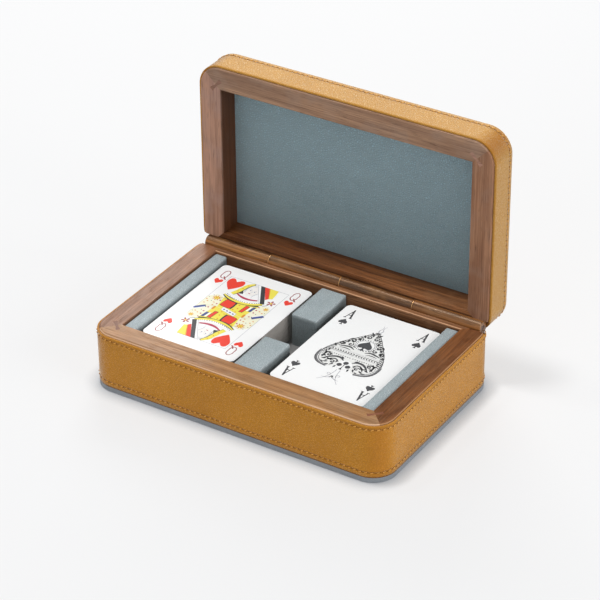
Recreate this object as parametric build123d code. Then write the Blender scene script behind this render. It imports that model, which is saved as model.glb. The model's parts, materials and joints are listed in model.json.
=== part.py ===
from build123d import *
import os

# A playing card box: a walnut tray and lid, clad in leather, on a wooden barrel hinge.
# The frame has its origin at the centre of the underside, +X along the length, +Y towards
# the hinge and +Z up. The lid stands open, at a right angle to the tray. Sizes are millimetres.

# Two decks of cards, and the room that each one has in its well
card_length = 88.9
card_width = 63.5
card_corner_radius = 3.2
card_thickness = 0.3
stack_thickness = 18.2
deck_seat_gap = 0.1
deck_side_room = 4.4
deck_end_room = 4.55
deck_headroom = 3.9
left_deck_gap = 1.2
right_deck_gap = 0.4

# The shallower well in the lid
lid_well_depth = 15.8

# Rails and their leather
rail_thickness = 13.7
wood_corner_radius = 13.7
outer_edge_round = 1.0
inner_edge_round = 0.4
leather_thickness = 1.3
leather_drop = 0.9
leather_edge_round = 0.5
lid_leather_round = 1.0

# Boards and linings
sole_thickness = 3.5
sole_edge_round = 0.6
floor_board_thickness = 11.6
lid_board_thickness = 2.2
lining_thickness = 1.2

# Bow-tie keys, let into the mitres of the two corners away from the hinge
key_length = 9.5
key_end_width = 2.8
key_waist = 1.3
key_depth = 4.0
key_offset = 2.5

# Barrel hinge: the barrel lies in coves along both back rails and turns on a steel pin
barrel_radius = 4.4
hinge_setback = 8.4
hinge_rise = 0.1
barrel_end_setback = 4.2
inner_knuckle_length = 50.0
knuckle_gap = 0.3
knuckle_chamfer = 0.4
cove_clearance = 0.25
stop_clearance = 0.15
pin_radius = 1.2
pin_clearance = 0.05
plug_radius = 1.6
plug_length = 3.0
plug_gap = 0.3

# Padding in the tray: a strip along each end, and two blocks that part the decks
strip_width = 8.0
strip_gap = 0.5
strip_edge_round = 1.0
divider_width = 17.2
divider_edge_round = 1.2
finger_gap_width = 28.0
padding_drop = 1.0
padding_end_gap = 0.3
cover_thickness = 1.0

# How far a cutting shape runs past what it cuts
cut_margin = 1.0

# Sizes that follow from those above: the tray's well is laid out around the two decks
well_length = divider_width + 2 * (card_width + deck_side_room + strip_width + strip_gap)
well_width = card_length + 2 * deck_end_room
well_depth = deck_seat_gap + stack_thickness + card_thickness + deck_headroom
wood_length = well_length + 2 * rail_thickness
wood_width = well_width + 2 * rail_thickness
outer_length = wood_length + 2 * leather_thickness
outer_width = wood_width + 2 * leather_thickness
outer_corner_radius = wood_corner_radius + leather_thickness
base_rail_height = well_depth + lining_thickness + floor_board_thickness
lid_rail_height = lid_well_depth + lining_thickness
lid_band_height = lid_rail_height + lid_board_thickness
rail_top = sole_thickness + base_rail_height
lining_top = rail_top - well_depth
padding_top = rail_top - padding_drop
hinge_y = well_width / 2 + hinge_setback
barrel_end = outer_length / 2 - barrel_end_setback
strip_inner_x = well_length / 2 - strip_gap - strip_width

pieces = {}


def block(x_low, x_high, y_low, y_high, z_low, z_high):
    centre = Pos((x_low + x_high) / 2, (y_low + y_high) / 2, (z_low + z_high) / 2)
    return centre * Box(x_high - x_low, y_high - y_low, z_high - z_low)


def rounded_slab(length, width, radius, z_low, z_high):
    return Pos(0, 0, z_low) * extrude(RectangleRounded(length, width, radius), amount=z_high - z_low)


def well_block(z_low, z_high):
    return block(-well_length / 2, well_length / 2, -well_width / 2, well_width / 2, z_low, z_high)


def top_edges(solid):
    return solid.edges().group_by(Axis.Z)[-1]


def bottom_edges(solid):
    return solid.edges().group_by(Axis.Z)[0]


def along_hinge(radius, x_low, x_high):
    return Pos((x_low + x_high) / 2, hinge_y, hinge_rise) * Rot(0, 90, 0) * Cylinder(radius, x_high - x_low)


# The tray and the lid are built alike, face up, with the face of the rails at z = 0 and the
# hinge axis just above it. The tray is then raised to its height. The lid is turned over
# about the slanted line through the hinge, which leaves it standing open.

def place_tray(shape):
    return Pos(0, 0, rail_top) * shape


def place_lid(shape):
    slanted = Axis((0, hinge_y, rail_top + hinge_rise), (0, 1, -1))
    return place_tray(shape).rotate(slanted, 180)


def hinge_cuts():
    # The knuckles that belong to this half are glued into coves of their own radius. The
    # other half's knuckles turn in wider ones. Every cove runs out through both ends.
    open_end = outer_length / 2 + cut_margin
    seams = [-open_end, -inner_knuckle_length, 0, inner_knuckle_length, open_end]
    cuts = []
    for index in range(4):
        own = index % 2 == 0
        radius = barrel_radius if own else barrel_radius + cove_clearance
        cuts.append(along_hinge(radius, seams[index], seams[index + 1]))
    # Behind the barrel both halves slope at 45 degrees, and the slopes meet when the lid is open.
    behind = outer_width / 2 - hinge_y + cut_margin
    crest = barrel_radius - stop_clearance
    slope = Polygon(
        (-barrel_radius, crest), (behind, -behind - stop_clearance), (behind, crest), align=None
    )
    triangle = Plane((0, hinge_y, hinge_rise), x_dir=(0, 1, 0), z_dir=(1, 0, 0)) * slope
    cuts.append(extrude(triangle, amount=open_end, both=True))
    return cuts


def cut_for_hinge(solid):
    for cut in hinge_cuts():
        solid = solid - cut
    return solid


def corner_key(side):
    half = key_length / 2
    end = key_end_width / 2
    waist = key_waist / 2
    bow_tie = Polygon((-half, -end), (0, -waist), (half, -end), (half, end), (0, waist), (-half, end), align=None)
    place = Pos(
        side * (well_length / 2 + key_offset), -(well_width / 2 + key_offset), -key_depth
    )
    return place * Rot(0, 0, 45 * side) * extrude(bow_tie, amount=key_depth)


def rail_ring(height):
    outline = rounded_slab(wood_length, wood_width, wood_corner_radius, -height, 0)
    ring = fillet(top_edges(outline), outer_edge_round) - well_block(-height - cut_margin, cut_margin)
    inside_x = well_length / 2 + inner_edge_round
    inside_y = well_width / 2 + inner_edge_round
    around_well = top_edges(ring).filter_by(
        lambda edge: abs(edge.center().X) < inside_x and abs(edge.center().Y) < inside_y
    )
    ring = cut_for_hinge(fillet(around_well, inner_edge_round))
    return ring - corner_key(-1) - corner_key(1)


def add_rails(prefix, height, place, sides):
    # Mitres run out from the well's corners and part the ring into four rails.
    ring = rail_ring(height)
    inner_x = well_length / 2 - cut_margin
    inner_y = well_width / 2 - cut_margin
    reach = rail_thickness + 2 * cut_margin
    corners = [(-1, -1), (1, -1), (1, 1), (-1, 1)]
    for index, side in enumerate(sides):
        first, second = corners[index], corners[(index + 1) % 4]
        wedge = Polygon(
            (first[0] * inner_x, first[1] * inner_y),
            (first[0] * (inner_x + reach), first[1] * (inner_y + reach)),
            (second[0] * (inner_x + reach), second[1] * (inner_y + reach)),
            (second[0] * inner_x, second[1] * inner_y),
            align=None,
        )
        prism = Pos(0, 0, -height - cut_margin) * extrude(wedge, amount=height + 2 * cut_margin)
        pieces[f"{prefix}_{side}_rail"] = place(ring & prism)
    pieces[f"{prefix}_corner_keys"] = place(Compound([corner_key(-1), corner_key(1)]))


def leather_band(height):
    # The leather's top edge is turned over, so it is round on both sides.
    outside = rounded_slab(outer_length, outer_width, outer_corner_radius, -height, -leather_drop)
    inside = rounded_slab(wood_length, wood_width, wood_corner_radius, -height, -leather_drop)
    band = outside - inside
    return cut_for_hinge(fillet(top_edges(band), leather_edge_round))


def add_tray():
    add_rails("base", base_rail_height, place_tray, ["front", "right", "back", "left"])
    pieces["base_leather_band"] = place_tray(leather_band(base_rail_height))
    sole = rounded_slab(outer_length, outer_width, outer_corner_radius, 0, sole_thickness)
    pieces["base_sole"] = fillet(bottom_edges(sole), sole_edge_round)
    board_top = sole_thickness + floor_board_thickness
    pieces["base_floor_board"] = well_block(sole_thickness, board_top)
    pieces["base_floor_lining"] = well_block(board_top, lining_top)


def add_lid():
    add_rails("lid", lid_rail_height, place_lid, ["front", "left", "back", "right"])
    pieces["lid_leather_band"] = place_lid(leather_band(lid_band_height))
    pieces["lid_lining"] = place_lid(well_block(-lid_rail_height, -lid_well_depth))
    board = rounded_slab(wood_length, wood_width, wood_corner_radius, -lid_band_height, -lid_rail_height)
    pieces["lid_board"] = place_lid(board)
    far_side = -lid_band_height - leather_thickness
    leather = rounded_slab(outer_length, outer_width, outer_corner_radius, far_side, -lid_band_height)
    pieces["lid_leather_top"] = place_lid(fillet(bottom_edges(leather), lid_leather_round))


def add_hinge():
    # The first and third knuckles, from the left, belong to the tray, the others to the lid.
    seams = [-barrel_end, -inner_knuckle_length, 0, inner_knuckle_length, barrel_end]
    half_gap = knuckle_gap / 2
    for index in range(4):
        x_low = seams[index] + (half_gap if index > 0 else 0)
        x_high = seams[index + 1] - (half_gap if index < 3 else 0)
        solid = along_hinge(barrel_radius, x_low, x_high)
        rims = solid.edges().filter_by(GeomType.CIRCLE)
        bore = pin_radius if index % 2 == 0 else pin_radius + pin_clearance
        solid = chamfer(rims, knuckle_chamfer) - along_hinge(bore, x_low, x_high)
        if index == 0:
            solid = solid - along_hinge(plug_radius, -barrel_end, -barrel_end + plug_length)
        if index == 3:
            solid = solid - along_hinge(plug_radius, barrel_end - plug_length, barrel_end)
        pieces[f"hinge_knuckle_{index + 1}"] = place_tray(solid)
    pin = along_hinge(pin_radius, -barrel_end + plug_length, barrel_end - plug_length - plug_gap)
    pieces["hinge_pin"] = place_tray(pin)
    left_plug = along_hinge(plug_radius, -barrel_end, -barrel_end + plug_length)
    pieces["hinge_plug_left"] = place_tray(left_plug)
    right_plug = along_hinge(plug_radius, barrel_end - plug_length, barrel_end)
    pieces["hinge_plug_right"] = place_tray(right_plug)


def add_padding(name, x_low, x_high, y_low, y_high, edge_round):
    # A core with a fine leather cover over its top and sides.
    outside = block(x_low, x_high, y_low, y_high, lining_top, padding_top)
    outside = fillet(outside.edges().filter_by(Axis.Z) + top_edges(outside), edge_round)
    core = block(
        x_low + cover_thickness, x_high - cover_thickness,
        y_low + cover_thickness, y_high - cover_thickness,
        lining_top, padding_top - cover_thickness,
    )
    pieces[f"{name}_core"] = core
    pieces[f"{name}_cover"] = outside - core


def add_paddings():
    strip_outer_x = strip_inner_x + strip_width
    end_y = well_width / 2 - padding_end_gap
    add_padding("left_end_strip", -strip_outer_x, -strip_inner_x, -end_y, end_y, strip_edge_round)
    add_padding("right_end_strip", strip_inner_x, strip_outer_x, -end_y, end_y, strip_edge_round)
    half_width = divider_width / 2
    half_gap = finger_gap_width / 2
    add_padding("front_divider", -half_width, half_width, -end_y, -half_gap, divider_edge_round)
    add_padding("rear_divider", -half_width, half_width, half_gap, end_y, divider_edge_round)


def add_deck(name, centre_x):
    bottom = lining_top + deck_seat_gap
    joint = bottom + stack_thickness
    place = Pos(centre_x, 0, 0)
    pieces[f"{name}_stack"] = place * rounded_slab(card_width, card_length, card_corner_radius, bottom, joint)
    top_card = rounded_slab(card_width, card_length, card_corner_radius, joint, joint + card_thickness)
    pieces[f"{name}_top_card"] = place * top_card


add_tray()
add_lid()
add_hinge()
add_paddings()
add_deck("left_deck", -strip_inner_x + left_deck_gap + card_width / 2)
add_deck("right_deck", strip_inner_x - right_deck_gap - card_width / 2)

os.makedirs("parts", exist_ok=True)
for name, shape in pieces.items():
    export_step(shape, f"parts/{name}.step")
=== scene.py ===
import json
import math
import random

import bmesh
import bpy
from mathutils import Matrix, Vector

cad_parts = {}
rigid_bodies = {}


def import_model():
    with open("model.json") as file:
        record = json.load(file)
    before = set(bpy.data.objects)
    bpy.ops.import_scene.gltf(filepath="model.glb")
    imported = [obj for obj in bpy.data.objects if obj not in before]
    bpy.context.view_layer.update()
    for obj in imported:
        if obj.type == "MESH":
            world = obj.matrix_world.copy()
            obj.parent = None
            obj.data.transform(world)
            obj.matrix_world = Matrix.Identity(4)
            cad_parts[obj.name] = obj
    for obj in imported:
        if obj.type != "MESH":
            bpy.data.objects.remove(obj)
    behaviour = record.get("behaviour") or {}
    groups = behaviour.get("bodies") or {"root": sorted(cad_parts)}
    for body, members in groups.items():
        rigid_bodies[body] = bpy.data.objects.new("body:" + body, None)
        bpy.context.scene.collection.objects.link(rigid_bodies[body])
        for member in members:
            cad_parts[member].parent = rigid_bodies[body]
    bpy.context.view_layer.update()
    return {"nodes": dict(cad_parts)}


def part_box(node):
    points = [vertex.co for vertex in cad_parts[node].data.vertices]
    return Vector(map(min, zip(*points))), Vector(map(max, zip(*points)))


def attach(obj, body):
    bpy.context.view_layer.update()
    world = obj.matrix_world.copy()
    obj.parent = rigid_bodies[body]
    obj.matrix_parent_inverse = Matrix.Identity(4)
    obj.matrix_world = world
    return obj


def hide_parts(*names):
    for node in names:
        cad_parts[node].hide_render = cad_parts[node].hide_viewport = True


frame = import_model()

nodes = frame["nodes"]
mm = 0.001
print("frame loaded:", len(nodes), "nodes")


# Small helpers for objects

def selectOnly(*items):
    for item in bpy.context.selected_objects:
        item.select_set(False)
    for item in items:
        item.select_set(True)
    bpy.context.view_layer.objects.active = items[-1]


def joinAll(items):
    selectOnly(*items)
    if len(items) > 1:
        bpy.ops.object.join()
    return bpy.context.view_layer.objects.active


def settle(item):
    # the place of a finished piece is in its mesh
    selectOnly(item)
    bpy.ops.object.transform_apply(location=True, rotation=True, scale=True)


def dress(item, *finishes):
    item.data.materials.clear()
    for finish in finishes:
        item.data.materials.append(finish)


def finishPiece(item, name, body, replaced=()):
    item.name = name
    item.data.name = name
    settle(item)
    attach(item, body)
    if replaced:
        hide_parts(*replaced)


def editNew():
    # opens what was just added, or joined, for editing
    item = bpy.context.object
    settle(item)
    bpy.ops.object.mode_set(mode="EDIT")
    return item


def leaveEdit():
    bpy.ops.object.mode_set(mode="OBJECT")


def pick(kind, test):
    # selects the vertices, edges or faces of the edited mesh that pass a test
    mesh = bmesh.from_edit_mesh(bpy.context.object.data)
    for group in (mesh.verts, mesh.edges, mesh.faces):
        for element in group:
            element.select = False
    for element in getattr(mesh, kind):
        if test(element):
            element.select_set(True)


# Small helpers for shader nodes: each works in the tree that its sockets, or its node, belong to

def treeOf(*values):
    return next(value.id_data for value in values if isinstance(value, bpy.types.NodeSocket))


def feed(node, inputs):
    # a socket is linked, and a plain value is set
    for key, value in inputs.items():
        if isinstance(value, bpy.types.NodeSocket):
            node.id_data.links.new(value, node.inputs[key])
        else:
            node.inputs[key].default_value = value


def addNode(tree, kind, inputs=None, **settings):
    node = tree.nodes.new("ShaderNode" + kind)
    for key, value in settings.items():
        setattr(node, key, value)
    feed(node, inputs or {})
    return node


def mapped(value, low, high, outLow=0.0, outHigh=1.0, smooth=False):
    ends = {"Value": value, "From Min": low, "From Max": high, "To Min": outLow, "To Max": outHigh}
    kind = "SMOOTHSTEP" if smooth else "LINEAR"
    return addNode(treeOf(value), "MapRange", ends, interpolation_type=kind).outputs["Result"]


def maths(operation, first, second=0.0, third=0.0):
    tree = treeOf(first, second, third)
    return addNode(tree, "Math", {0: first, 1: second, 2: third}, operation=operation).outputs["Value"]


def vectorMaths(operation, inputs):
    return addNode(treeOf(*inputs.values()), "VectorMath", inputs, operation=operation).outputs[0]


def mixColour(factor, first, second, blend="MIX"):
    tree = treeOf(factor, first, second)
    first, second = [(*value, 1.0) if isinstance(value, tuple) else value for value in (first, second)]
    return addNode(tree, "Mix", {0: factor, 6: first, 7: second}, data_type="RGBA", blend_type=blend).outputs[2]


def stain(base, mask, share, colour):
    return mixColour(maths("MULTIPLY", mask, share), base, colour)


def deepen(base, mask, tint):
    return mixColour(mask, base, mixColour(1.0, base, tint, "MULTIPLY"))


def noise(vector, scale, detail=3.0, roughness=0.5, distortion=0.0, output="Fac"):
    settings = {"Vector": vector, "Scale": scale, "Detail": detail, "Roughness": roughness,
                "Distortion": distortion}
    return addNode(treeOf(vector), "TexNoise", settings).outputs[output]


def axisValue(where, axis):
    return addNode(treeOf(where), "SeparateXYZ", {0: where}).outputs[axis]


def awayFrom(value, place):
    return maths("ABSOLUTE", maths("SUBTRACT", value, place))


def newGroup(name, inputs, outputs):
    tree = bpy.data.node_groups.new(name, "ShaderNodeTree")
    for label, kind in inputs.items():
        tree.interface.new_socket(label, in_out="INPUT", socket_type="NodeSocket" + kind)
    for label in outputs:
        tree.interface.new_socket(label, in_out="OUTPUT", socket_type="NodeSocketFloat")
    return tree.nodes.new("NodeGroupInput").outputs, tree.nodes.new("NodeGroupOutput")


def useGroup(group, vector, **inputs):
    return addNode(treeOf(vector), "Group", {"Vector": vector, **inputs}, node_tree=group).outputs


# Pebbled leather: rounded cells parted by creases, with slow mottling over them

pebbles = {
    "wobble": (0.9, 0.9, 0.9),
    "domeWidth": 0.32,
    "domeHeight": 0.75,
    "fineHeight": 0.2,
    "mottle": (0.34, 0.66),
}


def makePebbleGroup():
    given, out = newGroup("pebbleGrain", {"Vector": "Vector", "Size": "Float"}, ["Height", "Crease", "Mottle"])
    scaled = vectorMaths("SCALE", {0: given["Vector"], "Scale": maths("DIVIDE", 1.0, given["Size"])})
    wobble = noise(scaled, 0.8, 2.0, output="Color")
    warped = vectorMaths("MULTIPLY_ADD", {0: wobble, 1: pebbles["wobble"], 2: scaled})
    cells = addNode(out.id_data, "TexVoronoi", {"Vector": warped, "Scale": 1.0}, feature="DISTANCE_TO_EDGE")
    dome = mapped(cells.outputs["Distance"], 0.0, pebbles["domeWidth"], smooth=True)
    fine = maths("MULTIPLY", noise(scaled, 3.2), pebbles["fineHeight"])
    feed(out, {"Height": maths("MULTIPLY_ADD", dome, pebbles["domeHeight"], fine),
               "Crease": maths("SUBTRACT", 1.0, dome),
               "Mottle": mapped(noise(scaled, 0.035, 5.0, 0.72), *pebbles["mottle"])})
    return out.id_data


# Walnut, with the grain along X: long figure, fine fibres and short dark pores
# Each part of it is a noise: share kept of the length, scale, detail, roughness and distortion

walnutGrain = {
    "flow": (0.09, 75.0, 2.0, 0.5, 0.4),
    "fibre": (0.012, 1500.0, 3.0, 0.65),
    "broad": (0.03, 260.0, 3.0, 0.55),
    "streak": (0.018, 800.0, 2.0),
    "dashes": (0.035, 2400.0, 1.0),
}


def makeWalnutGroup():
    given, out = newGroup("walnutFigure", {"Vector": "Vector", "Rings": "Float"},
                          ["Figure", "Fibre", "Pore", "Height"])

    def grain(part):
        share, *settings = walnutGrain[part]
        return noise(vectorMaths("MULTIPLY", {0: given["Vector"], 1: (share, 1.0, 1.0)}), *settings)

    bands = maths("PINGPONG", maths("MULTIPLY", grain("flow"), given["Rings"]), 0.5)
    softBands = mapped(bands, 0.0, 0.5, smooth=True)
    figure = maths("MULTIPLY_ADD", softBands, 0.42, maths("MULTIPLY", grain("broad"), 0.62))
    figure = maths("MULTIPLY_ADD", mapped(grain("streak"), 0.52, 0.70, smooth=True), -0.35, figure)
    fibre = grain("fibre")
    pore = mapped(grain("dashes"), 0.60, 0.68, smooth=True)
    feed(out, {"Figure": figure, "Fibre": mapped(fibre, 0.3, 0.7), "Pore": pore,
               "Height": maths("MULTIPLY_ADD", pore, -0.8, maths("MULTIPLY", fibre, 0.5))})
    return out.id_data


pebbleGrain = makePebbleGroup()
walnutFigure = makeWalnutGroup()


materials = {}


def newMaterial(name):
    material = materials[name] = bpy.data.materials.new(name)
    material.use_nodes = True
    return material, addNode(material.node_tree, "TexCoord").outputs["Object"]


def surface(material, inputs, height=None, relief=0.0):
    # feeds the Principled shader, with a bump where there is a height
    shader = material.node_tree.nodes["Principled BSDF"]
    feed(shader, inputs)
    if height is not None:
        bump = addNode(material.node_tree, "Bump", {"Height": height, "Distance": relief, "Strength": 1.0})
        feed(shader, {"Normal": bump.outputs["Normal"]})


# Rows of stitches: tray rows by height, the lid row by its depth behind the lid's face
seamRows = {"trayTop": 35.7 * mm, "trayFoot": 6.9 * mm, "lid": 74.5 * mm}

# The leather is drawn in along each row and rolls over at its edges; the groove, the rolled edges and the line
# at the foot are darkened with painted shade
# A mark is full up to the first distance from its line, and gone at the second
seamMarks = {
    "pullShade": {"reach": (0.32 * mm, 0.8 * mm), "share": 0.62, "colour": (0.27, 0.095, 0.008), "depth": 0.2 * mm},
    "roll": {"reach": (0.0, 2.6 * mm), "share": 0.55, "colour": (0.43, 0.180, 0.016), "depth": 0.4 * mm},
    "cut": {"reach": (0.4 * mm, 0.8 * mm), "share": 0.9, "colour": (0.12, 0.045, 0.010), "depth": 0.0},
}
trayMarks = [("roll", 3.5 * mm), ("cut", 3.5 * mm), ("roll", 37.9 * mm), ("pullShade", seamRows["trayTop"]),
             ("pullShade", seamRows["trayFoot"])]
lidMarks = [("roll", 57.5 * mm), ("roll", 78.0 * mm), ("pullShade", seamRows["lid"])]

leatherFinish = {
    "bendWidth": 10.6 * mm,
    "glossSpread": 0.16,
    "shine": 0.16,
    "sheenRoughness": 0.34,
    "sheenTint": (1.0, 0.94, 0.80, 1.0),
}


def makeLeather(name, light, dark, crease, size, relief, gloss, creaseShare=0.5, sheen=0.0, seams=None,
                shadeRamp=None, cornerShade=None):
    material, where = newMaterial(name)
    grain = useGroup(pebbleGrain, where, Size=size)
    base = mixColour(grain["Mottle"], dark, light)
    if cornerShade:
        # painted shade round a corner, where the sheen of the flat faces falls away: axis, middle and start of
        # the bend
        bends, colour = cornerShade
        share = 1.0
        for axis, middle, start in bends:
            away = awayFrom(axisValue(where, axis), middle)
            bend = mapped(away, start, start + leatherFinish["bendWidth"], smooth=True)
            share = maths("MULTIPLY", bend, share)
        base = deepen(base, share, colour)
    # painted shade: darker along one axis, towards the bottom
    if shadeRamp:
        axis, start, stop, share = shadeRamp
        base = deepen(base, mapped(axisValue(where, axis), start, stop, smooth=True), (share,) * 3)
    base = stain(base, grain["Crease"], creaseShare, crease)
    height = grain["Height"]
    if seams:
        axis, marks = seams
        along = axisValue(where, axis)
        for kind, place in marks:
            mark = seamMarks[kind]
            mask = mapped(awayFrom(along, place), *mark["reach"], 1.0, 0.0, smooth=kind != "cut")
            # painted shade in the groove, on the rolled edges and in the line at the foot
            base = stain(base, mask, mark["share"], mark["colour"])
            height = maths("MULTIPLY_ADD", mask, -mark["depth"] / relief, height)
    surface(material, {
        "Base Color": base,
        "Roughness": mapped(grain["Crease"], 0.0, 1.0, gloss, gloss + leatherFinish["glossSpread"]),
        "Specular IOR Level": leatherFinish["shine"],
        "Sheen Weight": sheen,
        "Sheen Roughness": leatherFinish["sheenRoughness"],
        "Sheen Tint": leatherFinish["sheenTint"]}, height, relief)


walnutFinish = {
    "turns": {"X": (0.0, 0.0, 0.0), "Y": (0.0, 0.0, math.pi / 2), "Z": (0.0, math.pi / 2, 0.0)},
    "figure": (0.15, 0.75),
    "chalk": (0.80, 0.92, 1.12),
    "deep": 0.5,
    "fibreShare": 0.5,
    "poreShare": 0.7,
    # tint of the painted shade on the inner walls
    "wallShadeTint": (0.30, 0.20, 0.12),
    # share of the painted highlight or shade along an edge
    "edgeLineShare": 0.8,
    "glossSpread": 0.14,
    "rail": {"gloss": 0.32, "shine": 0.24, "tint": (1.0, 0.84, 0.70, 1.0), "relief": 0.00006},
    "knuckle": {"gloss": 0.27, "shine": 0.8, "tint": (1.0, 0.74, 0.54, 1.0), "relief": 0.00003},
}


def makeWalnut(name, axis, light, dark, shift, rings, inner, edgeLineMark, gloss, shine, tint, relief):
    material, where = newMaterial(name)
    turn = walnutFinish["turns"][axis]
    along = addNode(material.node_tree, "Mapping", {"Vector": where, "Location": shift, "Rotation": turn})
    wood = useGroup(walnutFigure, along.outputs[0], Rings=rings)
    base = mixColour(mapped(wood["Figure"], *walnutFinish["figure"]), dark, light)
    # patches where the finish looks chalky
    haze = mapped(noise(where, 52.0, 3.0, 0.55), 0.44, 0.64, 0.0, 0.55, smooth=True)
    base = mixColour(haze, base, tuple(share * value for share, value in zip(walnutFinish["chalk"], light)))
    deep = tuple(walnutFinish["deep"] * value for value in dark)
    for part in ("Fibre", "Pore"):
        base = stain(base, wood[part], walnutFinish[part.lower() + "Share"], deep)
    if inner:
        # painted shade: walls behind the polished face darker, where shade falls in the recesses, or a stick
        # darker towards one end; start and stop are places along one axis
        across, start, stop, amount = inner
        depth = mapped(axisValue(where, across), start, stop, 0.0, amount, smooth=True)
        base = deepen(base, depth, walnutFinish["wallShadeTint"])
    if edgeLineMark:
        # a painted line along an edge: a highlight where it catches the light, or shade under the barrel
        across, place, halfWidth, colour = edgeLineMark
        away = awayFrom(axisValue(where, across), place)
        base = mixColour(mapped(away, 0.5 * halfWidth, halfWidth, walnutFinish["edgeLineShare"], 0.0), base, colour)
    surface(material, {
        "Base Color": base,
        "Roughness": mapped(wood["Fibre"], 0.0, 1.0, gloss, gloss + walnutFinish["glossSpread"]),
        "Specular IOR Level": shine,
        "Specular Tint": tint}, wood["Height"], relief)


def makeSuede():
    material, where = newMaterial("suede")
    nap = noise(where, 2600.0, 4.0, 0.7)
    brushed = mapped(noise(where, 55.0, 3.0, 0.6), 0.35, 0.65)
    base = mixColour(brushed, (0.20, 0.20, 0.20), (0.29, 0.29, 0.285))
    base = mixColour(mapped(nap, 0.3, 0.7, 0.0, 0.4), base, (0.09, 0.08, 0.07))
    surface(material, {"Base Color": base, "Roughness": 0.95, "Sheen Weight": 0.25}, nap, 0.0001)


def makeThread():
    material, where = newMaterial("thread")
    wave = {"Vector": where, "Scale": 1400.0, "Distortion": 1.5}
    twist = addNode(material.node_tree, "TexWave", wave).outputs["Fac"]
    base = mixColour(twist, (0.58, 0.258, 0.034), (0.80, 0.415, 0.075))
    surface(material, {"Base Color": base, "Roughness": 0.55}, twist, 0.00004)


def makeMetal(name, dark, light):
    material, where = newMaterial(name)
    lines = addNode(material.node_tree, "Mapping", {"Vector": where, "Scale": (20.0, 1.0, 1.0)})
    drawn = noise(lines.outputs[0], 1800.0, 2.0)
    surface(material, {"Base Color": mixColour(drawn, dark, light), "Metallic": 1.0,
                       "Roughness": mapped(drawn, 0.0, 1.0, 0.28, 0.42)})


def makeSpeckled(name, scale, dark, light, gloss, relief=None, detail=(2.0, 0.5), glossSpread=0.1):
    material, where = newMaterial(name)
    fleck = noise(where, scale, *detail)
    roughness = mapped(fleck, 0.0, 1.0, gloss, gloss + glossSpread)
    surface(material, {"Base Color": mixColour(fleck, dark, light), "Roughness": roughness},
            fleck if relief else None, relief)


def makeCardStock(name, colour, gloss):
    makeSpeckled(name, 2200.0, tuple(0.955 * value for value in colour), colour, gloss, 0.00001)


def makeInk(name, colour):
    thin = tuple(min(1.0, 0.9 * value + 0.03) for value in colour)
    makeSpeckled("ink_" + name, 3000.0, thin, colour, 0.5)


# corner colours: painted shade round the corners, where the sheen of the flat faces falls away
tan = {"light": (0.67, 0.294, 0.021), "dark": (0.57, 0.243, 0.016), "crease": (0.36, 0.135, 0.008),
       "size": 0.0012, "relief": 0.00018, "gloss": 0.40, "creaseShare": 0.45, "sheen": 0.85,
       "cornerShade": ((("X", 0.0, 85.0 * mm), ("Y", 0.0, 49.0 * mm)), (0.84, 0.78, 0.95))}
# the lid's leather: a paler, yellower copy of the tray's, painted sheen on its upward and side faces
tanLidSheenPaled = {**tan, "light": (0.620, 0.336, 0.068), "dark": (0.550, 0.288, 0.054), "sheen": 1.0,
          "cornerShade": ((("X", 0.0, 85.0 * mm), ("Z", 96.3 * mm, 49.0 * mm)), (0.70, 0.55, 0.42))}
blue = {"light": (0.545, 0.61, 0.635), "dark": (0.47, 0.535, 0.555), "crease": (0.25, 0.31, 0.33),
        "size": 0.0009, "relief": 0.0003, "gloss": 0.42, "creaseShare": 0.62, "sheen": 0.15}

makeLeather("tanLeather", **{**tanLidSheenPaled, "cornerShade": None})
makeLeather("tanLeatherTray", **tan, seams=("Z", trayMarks))
makeLeather("tanLeatherLid", **tanLidSheenPaled, seams=("Y", lidMarks))
# the padding and the lining get painted shade towards their bottoms
makeLeather("blueLeather", **blue, shadeRamp=("Z", 0.0374, 0.0345, 0.38))
# a paler copy of the blue leather: painted highlight on the padding's rounded edges
makeLeather("blueLeatherLitEdge", **{**blue, "light": (0.58, 0.63, 0.65), "dark": (0.50, 0.56, 0.58)})
makeLeather("liningLeather", **{**blue, "light": (0.355, 0.515, 0.585), "dark": (0.31, 0.46, 0.525),
                                "relief": 0.00032, "size": 0.0013, "shadeRamp": ("Z", 0.135, 0.048, 0.70)})
makeLeather("soleLeather", (0.33, 0.355, 0.385), (0.29, 0.315, 0.345), (0.19, 0.21, 0.23),
            0.0008, 0.00005, 0.6, 0.3)
# dark thread ends: painted shade of the needle holes
makeLeather("needleHoleShade", (0.28, 0.104, 0.012), (0.23, 0.084, 0.010), (0.11, 0.041, 0.005),
            0.0006, 0.00005, 0.7)
makeThread()
makeSuede()
makeSpeckled("fibreBoard", 900.0, (0.30, 0.21, 0.13), (0.42, 0.31, 0.20), 0.85, 0.00005, (4.0, 0.7), 0.0)
makeMetal("drawnSteel", (0.45, 0.45, 0.46), (0.62, 0.62, 0.63))
makeMetal("brass", (0.44, 0.25, 0.11), (0.64, 0.38, 0.18))
# the stacked cards' edges: their own warm grey, darkened with painted shade of the gaps between the cards
makeCardStock("cardEdgeGreyAndShade", (0.46, 0.43, 0.40), 0.6)
makeCardStock("cardFace", (0.97, 0.97, 0.965), 0.4)
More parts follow.
